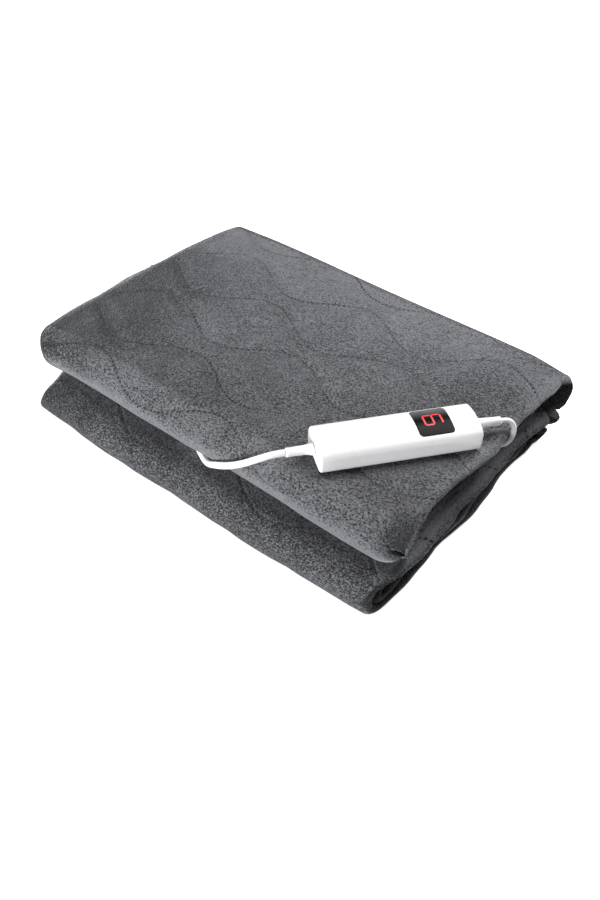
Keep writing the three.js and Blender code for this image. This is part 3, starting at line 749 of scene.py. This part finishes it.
def settled(x, y):
    crown = SETTLE["crown"] * (1 - (x / SETTLE["reach"][0]) ** 2) * (1 - (y / SETTLE["reach"][1]) ** 2)
    toward_back = smoothstep(y, *SETTLE["back"])
    left_sink = SETTLE["left_sink"] * smoothstep(-x, *SETTLE["left"]) * (1 - 0.6 * toward_back)
    uneven = SETTLE["unevenness"] * np.sin(x / 41 + 1.2) * np.cos(y / 52 + 0.4)
    c, s = CONTROL_AXIS
    along = (x - CONTROL["x"]) * c + (y - CONTROL["y"]) * s
    across = (y - CONTROL["y"]) * c - (x - CONTROL["x"]) * s
    within = (along / DENT["half_length"]) ** 6 + (across / DENT["half_width"]) ** 4
    dent = DENT["depth"] * np.exp(-within)
    return 1 + crown - left_sink - SETTLE["back_sink"] * toward_back + uneven - dent


def rounded_off(level, x):
    """How much lower the stack is where its outer layers bend over at its left end."""
    left = np.clip((-x - LEFT_ROUND["start"]) / LEFT_ROUND["reach"], 0.0, 0.985)
    weight = np.where(level < 4.0, 0.3 * smoothstep(level, 1.0, 4.0), smoothstep(level, 4.6, 8.2))
    return LEFT_ROUND["drop"] * (1 - np.sqrt(1 - left**2)) * weight


def layer_end(side, level, y):
    """X where the layers end at one side, uneven by waves that differ from layer to layer."""
    layer = np.clip(level - 0.5, 0, LAYERS - 1)
    reach = np.abs(y - ENDS["middle"]) / ENDS["half_width"]
    if side == "right":
        base = np.interp(layer, range(LAYERS), LAYER_RIGHT)
        ripple = 1.9 * np.sin(y / 19 + level * 1.9) + 1.4 * np.sin(y / 37 + level * 0.8 + 1)
        ripple += 0.7 * np.sin(y / 7.5 + level * 2.6) * np.sin(y / 31 + level)
        corner = np.interp(layer, range(LAYERS), LAYER_CORNER) * smoothstep(y, *BACK_CORNER)
        low, high = ENDS["front_round"]
        rounded = np.where(y < 0, blend(low, high, level / LAYERS) * reach**7, 0.0)
        top = smoothstep(level, *TOP_CORNER["levels"])
        rounded = rounded + TOP_CORNER["cut"] * smoothstep(y, *TOP_CORNER["span"]) * top
        inner = smoothstep(level, *REACH_OUT["above"]) * (1 - smoothstep(level, *REACH_OUT["below"]))
        out = REACH_OUT["by"] * smoothstep(-y, *REACH_OUT["span"])
        ripple += inner * (1.5 * np.sin(y / 8.5 + level * 3.1) + out)
        return base + ripple - ENDS["skew"] * y * (1 - level / LAYERS) + corner - rounded
    base = np.interp(layer, range(LAYERS), LAYER_LEFT)
    ripple = 0.9 * np.sin(y / 27 + level * 1.3)
    ripple += 0.5 * np.sin(y / 8.3 + level * 2.2) * np.sin(y / 40 + level)
    mouth = 1 - np.abs(level - 4) / 4
    cut = LEFT_CORNER["least"] + LEFT_CORNER["at_space"] * np.where(level < 4, mouth**2.4, mouth**2)
    bow = np.where(y < 0, ENDS["bow"][0], ENDS["bow"][1])
    bow = bow + np.where(y < 0, ENDS["top_bow"][0], ENDS["top_bow"][1]) * smoothstep(level, 4.5, 7.5)
    tucked = LEFT_TUCK["depth"] * smoothstep(-y, *LEFT_TUCK["span"])
    tucked = tucked * (1 - smoothstep(level, 0.0, LEFT_TUCK["below"]))
    return base + ripple + bow * reach**2 + cut * smoothstep(-y, *LEFT_CORNER["span"]) + tucked


def wrap_end(level, offset, y):
    """X of the right end of the layer that bends down over the back."""
    right = layer_end("right", LAYERS - 0.5 + offset, y)
    for step, start, fall in WRAP_STEPS:
        right = right + step * smoothstep(start - level, 0.0, fall)
    return right


def mitten_closed(x, y, level):
    """How far the upper bundle's front right end has closed, from 0 to 1."""
    past = np.clip((x - MITTEN["start"]) / MITTEN["depth"], 0.0, 0.999)
    return np.where(level > LAYERS / 2, 1 - np.sqrt(1 - past**2), 0.0) * smoothstep(-y, *MITTEN["span"])


def run(level, start, end, cloth=None, points=30):
    return dict(run=level, start=start, end=end, cloth=cloth, points=points)


def turn(level, half, y, facing, sense, cloth=None, points=8, low=-1.0):
    """A turn round a fold: "half" is its radius in layers, "facing" 1 at the back and -1 at the front,
    "sense" 1 going up and -1 going down, and "low" where it starts, in quarter turns."""
    sweep = (sense * low * math.pi / 2, sense * math.pi / 2)
    ways = dict(facing=facing, out=facing * sense, sweep=sweep)
    return dict(turn=level, half=half, y=y, cloth=cloth, points=points, **ways)


def fold_path(x):
    """The runs along layers and the turns round folds, from the outer hem to the inner one. A piece with
    "cloth" shows; hidden ones have none."""
    outer = (1.5 + FILL / 2) * FOLD_REACH
    upper = blend(FRONT["upper_left"], FRONT["upper_right"], (x + 230) / 460) + 1.2 * np.sin(x / 38) + outer
    lower = FRONT["lower"] + 3.5 * (x / 230) ** 4 + 0.9 * np.sin(x / 31 + 2) + outer
    reach = FOLD_REACH * FILL * 0.5
    back = BACK["fold"] - 1.5 * FOLD_REACH - reach + 0 * x
    inside = BACK["turn"] - 0.5 * FOLD_REACH - reach + 0 * x
    wrap = BACK["outer"] - WRAP["half"] * FOLD_REACH - reach + 0 * x
    drop = wrap + WRAP["half"] * FOLD_REACH
    return [
        dict(drop=drop, start=WRAP["hem"], end=WRAP["level"], cloth="back", points=12),
        turn(WRAP["level"], WRAP["half"], wrap, 1, 1, "back", points=12, low=0.0),
        run(7, wrap, upper, "across", points=102),
        turn(6, 1.5, upper, -1, -1, "front", points=30),
        run(4, upper, back),
        turn(4, 0.5, back, 1, -1),
        run(3, back, lower, "across"),
        turn(2, 1.5, lower, -1, -1, "front", points=30),
        run(0, lower, inside),
        turn(1, 0.5, inside, 1, 1),
        run(1, inside, lower),
        turn(2, 0.5, lower, -1, 1),
        run(2, lower, back),
        turn(4, 1.5, back, 1, 1, points=22),
        run(5, back, upper),
        turn(6, 0.5, upper, -1, 1),
        run(6, upper, BACK["inner_hem"] + 0 * x),
    ]


def quilt_place(x, along):
    """Where a point lies in the even pattern of stitched lines; the sewn lines stray from it a little."""
    back_right = smoothstep(x, 90, 180) * smoothstep(along, 50, 110)
    front_right = smoothstep(x, 150, 230) * smoothstep(-along, 60, 110)
    strayed = along - 15 * back_right + 9 * front_right + 1.6 * np.sin(x / 23 + along / 31)
    by_control = np.exp(-(((x - 112) / 45) ** 2) - ((along - 42) / 32) ** 2)
    at_left = np.exp(-(((x + 165) / 50) ** 2) - ((along + 15) / 25) ** 2)
    return x - 14 * by_control + 9 * at_left, strayed


def stitch_distance(x, along):
    """Distance from the nearest stitched line, in millimetres."""
    x, along = quilt_place(x, along)
    phase = 2 * math.pi * (x - QUILT["crest"]) / QUILT["length"]
    wave = QUILT["wave"] * np.cos(phase)
    lean = np.sqrt(1 + (QUILT["wave"] * 2 * math.pi / QUILT["length"] * np.sin(phase)) ** 2)
    pitch = 2 * QUILT["pitch"]
    found = []
    for sign, start in ((1, QUILT["first"]), (-1, QUILT["first"] + QUILT["pitch"])):
        shifted = along + sign * wave - start + pitch / 2
        found.append(np.abs(np.mod(shifted, pitch) - pitch / 2))
    return np.minimum(*found) / lean


def quilt_lift(x, along):
    """How far the cloth puffs up between the stitched lines, or sinks at one."""
    away = stitch_distance(x, along)
    return QUILT["puff"] - (QUILT["puff"] + QUILT["trough"]) * (1 - smoothstep(away, 0.0, QUILT["spread"]))


def path_points(thinned=1):
    """Points along the fold path: piece, share of the way along it, place in the whole path, how far in
    from a hem, and share of the ply's full thickness there."""
    pieces = fold_path(np.zeros(2))
    found = []
    for index, piece in enumerate(pieces):
        count = max(4, piece["points"] // thinned)
        found += [(index, (k + 0.5) / count, index + (k + 0.5) / count, 0.0, 1.0) for k in range(count)]
    if thinned > 1:
        return found
    last = len(pieces) - 1
    start = [(0, 0.0, -1 + k / len(HEM), inset, fill) for k, (inset, fill) in enumerate(HEM)]
    end = [(last, 1.0, last + 2 - k / len(HEM), inset, fill) for k, (inset, fill) in enumerate(HEM)]
    return start + found + end[::-1]


def sheet_stations(thinned=1):
    """Stations round the doubled sheet, from the left hem of one ply, round the fold at the right end, to
    the left hem of the other: side, share of the length, angle round the fold, inset and fill at a hem."""
    one = np.linspace(0.0, 1.0, 132 // thinned)[1:-1] ** 0.94
    other = np.linspace(1.0, 0.0, 36 // thinned)[1:-1]
    found = [(1, share, None, 0.0, 1.0) for share in one]
    found += [(0, 1.0, math.pi * (0.5 - step / 12), 0.0, 1.0) for step in range(13)]
    found += [(-1, share, None, 0.0, 1.0) for share in other]
    if thinned == 1:
        found = [(1, 0.0, None, *hem) for hem in HEM] + found + [(-1, 0.0, None, *hem) for hem in HEM[::-1]]
    return found


def path_place(path, index, share, inset, offset):
    """A place on one piece of the path, "offset" layers out from the layer's middle: Y, level, distance
    along the cloth, and the angle round a turn."""
    piece = path[index]
    if "turn" in piece:
        radius = piece["half"] + piece["out"] * offset
        angle = blend(*piece["sweep"], share)
        y = piece["y"] + piece["facing"] * radius * math.cos(angle) * FOLD_REACH
        beyond = 1 if piece["cloth"] == "back" else -1
        along = piece["y"] + beyond * (math.pi / 2 - angle) * radius * FOLD_REACH
        return y, piece["turn"] + radius * math.sin(angle), along, angle
    if "run" in piece:
        heading = 1.0 if piece["end"][0] > piece["start"][0] else -1.0
        y = blend(piece["start"], piece["end"], share) + heading * inset * (1 if share < 0.5 else -1)
        return y, piece["run"] + 0.5 - heading * offset, y, 0.0
    y = piece["drop"] + offset * FOLD_REACH
    level = blend(piece["start"], piece["end"], share) + inset / FOLD_REACH
    top = path[TOP_RUN]["start"]
    return y, level, top + math.pi / 2 * (y - top) + (WRAP["level"] - level) * FOLD_REACH, 0.0


def painted_light_and_shade(index, x, y, level, right, angle):
    """Painted light and shade in the cloth's colour, lighter above 0 and darker below. It is a painted
    highlight under the upper front fold, on the top's rim and toward the back, and painted shade at the
    left end, on the lower front fold and on the lower bundle's right end."""
    painted_shading = 0.0 * x
    toward_left = smoothstep(-x, 90, 205)
    if index == TOP_RUN:
        front_left = toward_left * (1 - smoothstep(y, 10, 130))
        toward_back, toward_front = smoothstep(y, 40, 150), 1 - smoothstep(y, -90, 40)
        back_right = smoothstep(x, 90, 200) * smoothstep(y, -30, 50)
        painted_shading = painted_shading - 0.46 * front_left - 0.20 * smoothstep(-x, 195, 225)
        painted_shading = painted_shading + 0.26 * toward_back - 0.14 * toward_front - 0.16 * back_right
    if index == UPPER_FOLD:
        under = float(smoothstep(-math.sin(angle), -0.45, 0.6))
        painted_shading = painted_shading - 0.46 * toward_left * (1 - under) + 0.75 * under
        painted_shading = painted_shading + 0.20 * under * smoothstep(-x, 60, 200)
    if index == LOWER_FOLD:
        painted_shading = painted_shading - 0.26 - 0.24 * smoothstep(-x, 90, 220)
    # The right end, in painted light and shade: the lower bundle dark, the upper one's lowest fold and the
    # top's rim light, its inner layers mottled dark.
    rim, edge = 1 - smoothstep(right - x, 1.5, 5.0), 1 - smoothstep(right - x, 4.0, 16.0)
    low = 1 - smoothstep(level, 3.15, 3.55)
    roll = smoothstep(level, 3.6, 3.85) * (1 - smoothstep(level, 4.0, 4.2))
    inner = smoothstep(level, 4.1, 4.4) * (1 - smoothstep(level, 7.1, 7.6))
    top = smoothstep(level, 7.6, 7.9)
    mottle = 0.16 * np.sin(y / 10.0 + 1.7 * level) * np.sin(y / 23.0 + level)
    painted_shading = painted_shading + edge * (0.18 * top + 0.55 * roll)
    return painted_shading + rim * (0.15 * top - 0.80 * low - inner * (0.04 - mottle))


def sheet_face(outside, points, stations):
    """One face of the doubled, folded sheet: arrays of its places, of its distances along and across the
    cloth, and of its painted light and shade."""
    middle = (PLY["outer"] + PLY["inner"]) / 2
    half = (PLY["outer"] - PLY["inner"]) / 2
    sign = 1.0 if outside else -1.0
    side, share_x, angle_x, inset_x, fill_x = np.array(stations, dtype=float).T
    round_fold = ~np.isnan(angle_x)
    bulge = np.where(round_fold, np.abs(np.cos(angle_x)) ** 0.8, 0.0)
    turned_side = np.where(round_fold, np.sin(angle_x), side)
    nominal = blend(LAYER_LEFT[-1], LAYER_RIGHT[-1], share_x)
    path = fold_path(nominal)
    places, maps, painted_shadings = [], [], []
    for index, share, _, inset_y, fill_y in points:
        cloth = path[index]["cloth"]
        fill = fill_x * fill_y
        offset = (middle + sign * half * fill) * turned_side
        y, level, along, angle = path_place(path, index, share, inset_y, offset)
        lift_y = lift_z = 0.0
        if index == TOP_RUN or cloth == "front":
            lift = quilt_lift(nominal, along) * fill * np.clip(turned_side, 0, 1) * (1 - bulge)
        if index == TOP_RUN:
            lift_z = lift * (1 - smoothstep(along, 120.0, 150.0)) * smoothstep(nominal, -225.0, -195.0)
        elif cloth == "front":
            lift_y = -lift * math.cos(angle)
            lift_z = lift * max(0.0, math.sin(angle)) if index == UPPER_FOLD else 0.0
        left = layer_end("left", level, y)
        right = wrap_end(level, offset, y) if cloth == "back" else layer_end("right", level, y)
        fold_x = right - ROUND_END + (END_FOLD["middle"] + sign * END_FOLD["half"] * fill_y) * bulge
        x = left + ROUND_END + (right - left - 2 * ROUND_END) * share_x
        x = np.where(share_x <= 0, left + inset_x, np.where(round_fold, fold_x, x))
        droop = DROOP["depth"] * smoothstep(x, *DROOP["x"]) * smoothstep(y, *DROOP["y"])
        droop = droop * smoothstep(level, *DROOP["levels"])
        z = height_of(level, x) * settled(x, y) - rounded_off(level, x) + lift_z - droop
        closed = mitten_closed(x, y, level)
        z = z + (MITTEN["z"] - z) * closed
        lift_y = lift_y + np.maximum(MITTEN["y"] - y, 0.0) * closed
        # Painted light and shade for this row of points.
        painted_shadings.append(painted_light_and_shade(index, x, y, level, right, angle))
        if cloth is None:
            along = y + HIDDEN_ALONG
        places.append(np.stack([x, y + lift_y, z], axis=1))
        maps.append(np.stack(quilt_place(x, along + 0 * x), axis=1))
    return np.array(places), np.array(maps), np.array(painted_shadings)


def zipped(fine, fine_at, coarse, coarse_at):
    """Triangles between two rows of points that run side by side, each with its place along the row."""
    faces, i, j = [], 0, 0
    while i + 1 < len(fine) or j + 1 < len(coarse):
        if j + 1 == len(coarse) or (i + 1 < len(fine) and fine_at[i + 1] <= coarse_at[j + 1]):
            faces.append((fine[i], fine[i + 1], coarse[j]))
            i += 1
        else:
            faces.append((fine[i], coarse[j + 1], coarse[j]))
            j += 1
    return faces


def grid_faces(base, rows, columns):
    r, c = np.meshgrid(np.arange(rows - 1), np.arange(columns - 1), indexing="ij")
    a = base + r * columns + c
    return np.stack([a, a + 1, a + columns + 1, a + columns], axis=-1).reshape(-1, 4)


def border(base, rows, columns):
    """The four sides of a grid's border, each from its low end to its high end."""
    ids = base + np.arange(rows * columns).reshape(rows, columns)
    return [list(ids[0]), list(ids[:, -1]), list(ids[-1]), list(ids[:, 0])]


def build_throw(material):
    """The throw's outer faces on a fine grid and its inner ones on a coarse grid, joined at the rims."""
    fine, coarse = (path_points(), sheet_stations()), (path_points(3), sheet_stations(3))
    outer, inner = sheet_face(True, *fine), sheet_face(False, *coarse)
    shape, inner_shape = outer[0].shape[:2], inner[0].shape[:2]
    base = shape[0] * shape[1]
    faces = [tuple(f) for f in grid_faces(0, *shape)]
    faces += [tuple(f[::-1]) for f in grid_faces(base, *inner_shape)]
    row_at = [[p[2] for p in points] for points, _ in (fine, coarse)]
    column_at = [station_places(stations) for _, stations in (fine, coarse)]
    for k, (side, inner_side) in enumerate(zip(border(0, *shape), border(base, *inner_shape))):
        at, inner_at = row_at if k % 2 else column_at
        strip = zipped(side, at, inner_side, inner_at)
        faces += [f if k in (2, 3) else f[::-1] for f in strip]
    places, maps, painted_shadings = (
        np.concatenate([a.reshape(-1, width), b.reshape(-1, width)])
        for a, b, width in zip(outer, inner, (3, 2, 1))
    )
    piece = make_object("folded_throw", (places + SHIFT) * MM, faces, material)
    shaped = bmesh.new()
    shaped.from_mesh(piece.data)
    bmesh.ops.recalc_face_normals(shaped, faces=shaped.faces)
    shaped.to_mesh(piece.data)
    shaped.free()
    corners = np.empty(len(piece.data.loops), dtype=np.int32)
    piece.data.loops.foreach_get("vertex_index", corners)
    layer = piece.data.uv_layers.new(name="cloth")
    layer.data.foreach_set("uv", (maps * MM)[corners].astype(np.float32).ravel())
    # Painted light and shade, one value per point, for the cloth's colour.
    painted_shading = piece.data.attributes.new("painted_shading", "FLOAT", "POINT")
    painted_shading.data.foreach_set("value", painted_shadings.astype(np.float32).ravel())
    attach(piece, "cloth", "throw")


def station_places(stations):
    """Where each station lies round the sheet, from 0 at one hem to 3 at the other."""
    found = []
    for k, (side, share, angle, *_) in enumerate(stations):
        if angle is not None:
            found.append(1.5 - angle / math.pi)
        elif side > 0:
            found.append(share if share > 0 else -0.1 + 0.001 * k)
        else:
            found.append(3.0 - share if share > 0 else 3.0 + 0.001 * k)
    return found


# ---------- Floor and lights ----------
def build_floor():
    n = Nodes("studio_floor")
    cloud = n.noise(n.place, 3.0, 2.0)
    n.set(
        Base_Color=n.mix(cloud, rgb(0.88, 0.88, 0.88), rgb(0.92, 0.92, 0.92)),
        Roughness=0.9,
        Specular_IOR_Level=0.0,
        Emission_Color=rgb(1.0, 1.0, 1.0),
        Emission_Strength=0.8,
    )
    half = 6.0
    corners = [(-half, -half, 0), (half, -half, 0), (half, half, 0), (-half, half, 0)]
    floor = make_object("studio_floor", corners, [(0, 1, 2, 3)], n.material)
    floor.visible_diffuse = False


def softbox(name, place, aim, size, power):
    data = bpy.data.lights.new(name, "AREA")
    data.shape = "RECTANGLE"
    data.size, data.size_y = size
    data.energy = power
    light = add_object(name, data)
    light.location = place
    light.rotation_euler = (Vector(aim) - Vector(place)).to_track_quat("-Z", "Y").to_euler()
    return light


HOUSING_PIECES = ("controller_case", "lead_sleeve", "mains_sleeve", "mains_cord", "blanket_cord")


def light_scene():
    scene = bpy.context.scene
    scene.view_settings.view_transform = "Standard"
    world = bpy.data.worlds.new("studio")
    scene.world = world
    world.use_nodes = True
    background = world.node_tree.nodes["Background"]
    background.inputs["Color"].default_value = rgb(1.0, 1.0, 1.0)
    background.inputs["Strength"].default_value = 0.06
    softbox("over", (0.22, 0.65, 1.05), (0.05, 0.05, 0.08), (0.9, 0.7), 24.0)
    softbox("front", (-0.35, -1.5, 0.22), (-0.05, -0.1, 0.05), (0.9, 0.3), 42.0)
    # A last light fills the white housing and leads alone, as a card held beside them would.
    fill = softbox("housing_fill", (1.0, -0.9, 0.8), (0.16, -0.03, 0.11), (0.8, 0.8), 2.5)
    lit = bpy.data.collections.new("housing_lit")
    for name in HOUSING_PIECES:
        lit.objects.link(bpy.data.objects[name])
    fill.light_linking.receiver_collection = lit


# ---------- The scene ----------
place_camera()
shell = plastic("white_shell", (0.84, 0.84, 0.85), 0.28, coat=0.3)
jacket = plastic("cord_jacket", (0.86, 0.86, 0.87), 0.42, speck=500.0)
build_cords(jacket, shell, plated(), woven_tie())
build_throw(fleece())
build_controller(shell, window_glass(), glow())
build_floor()
light_scene()
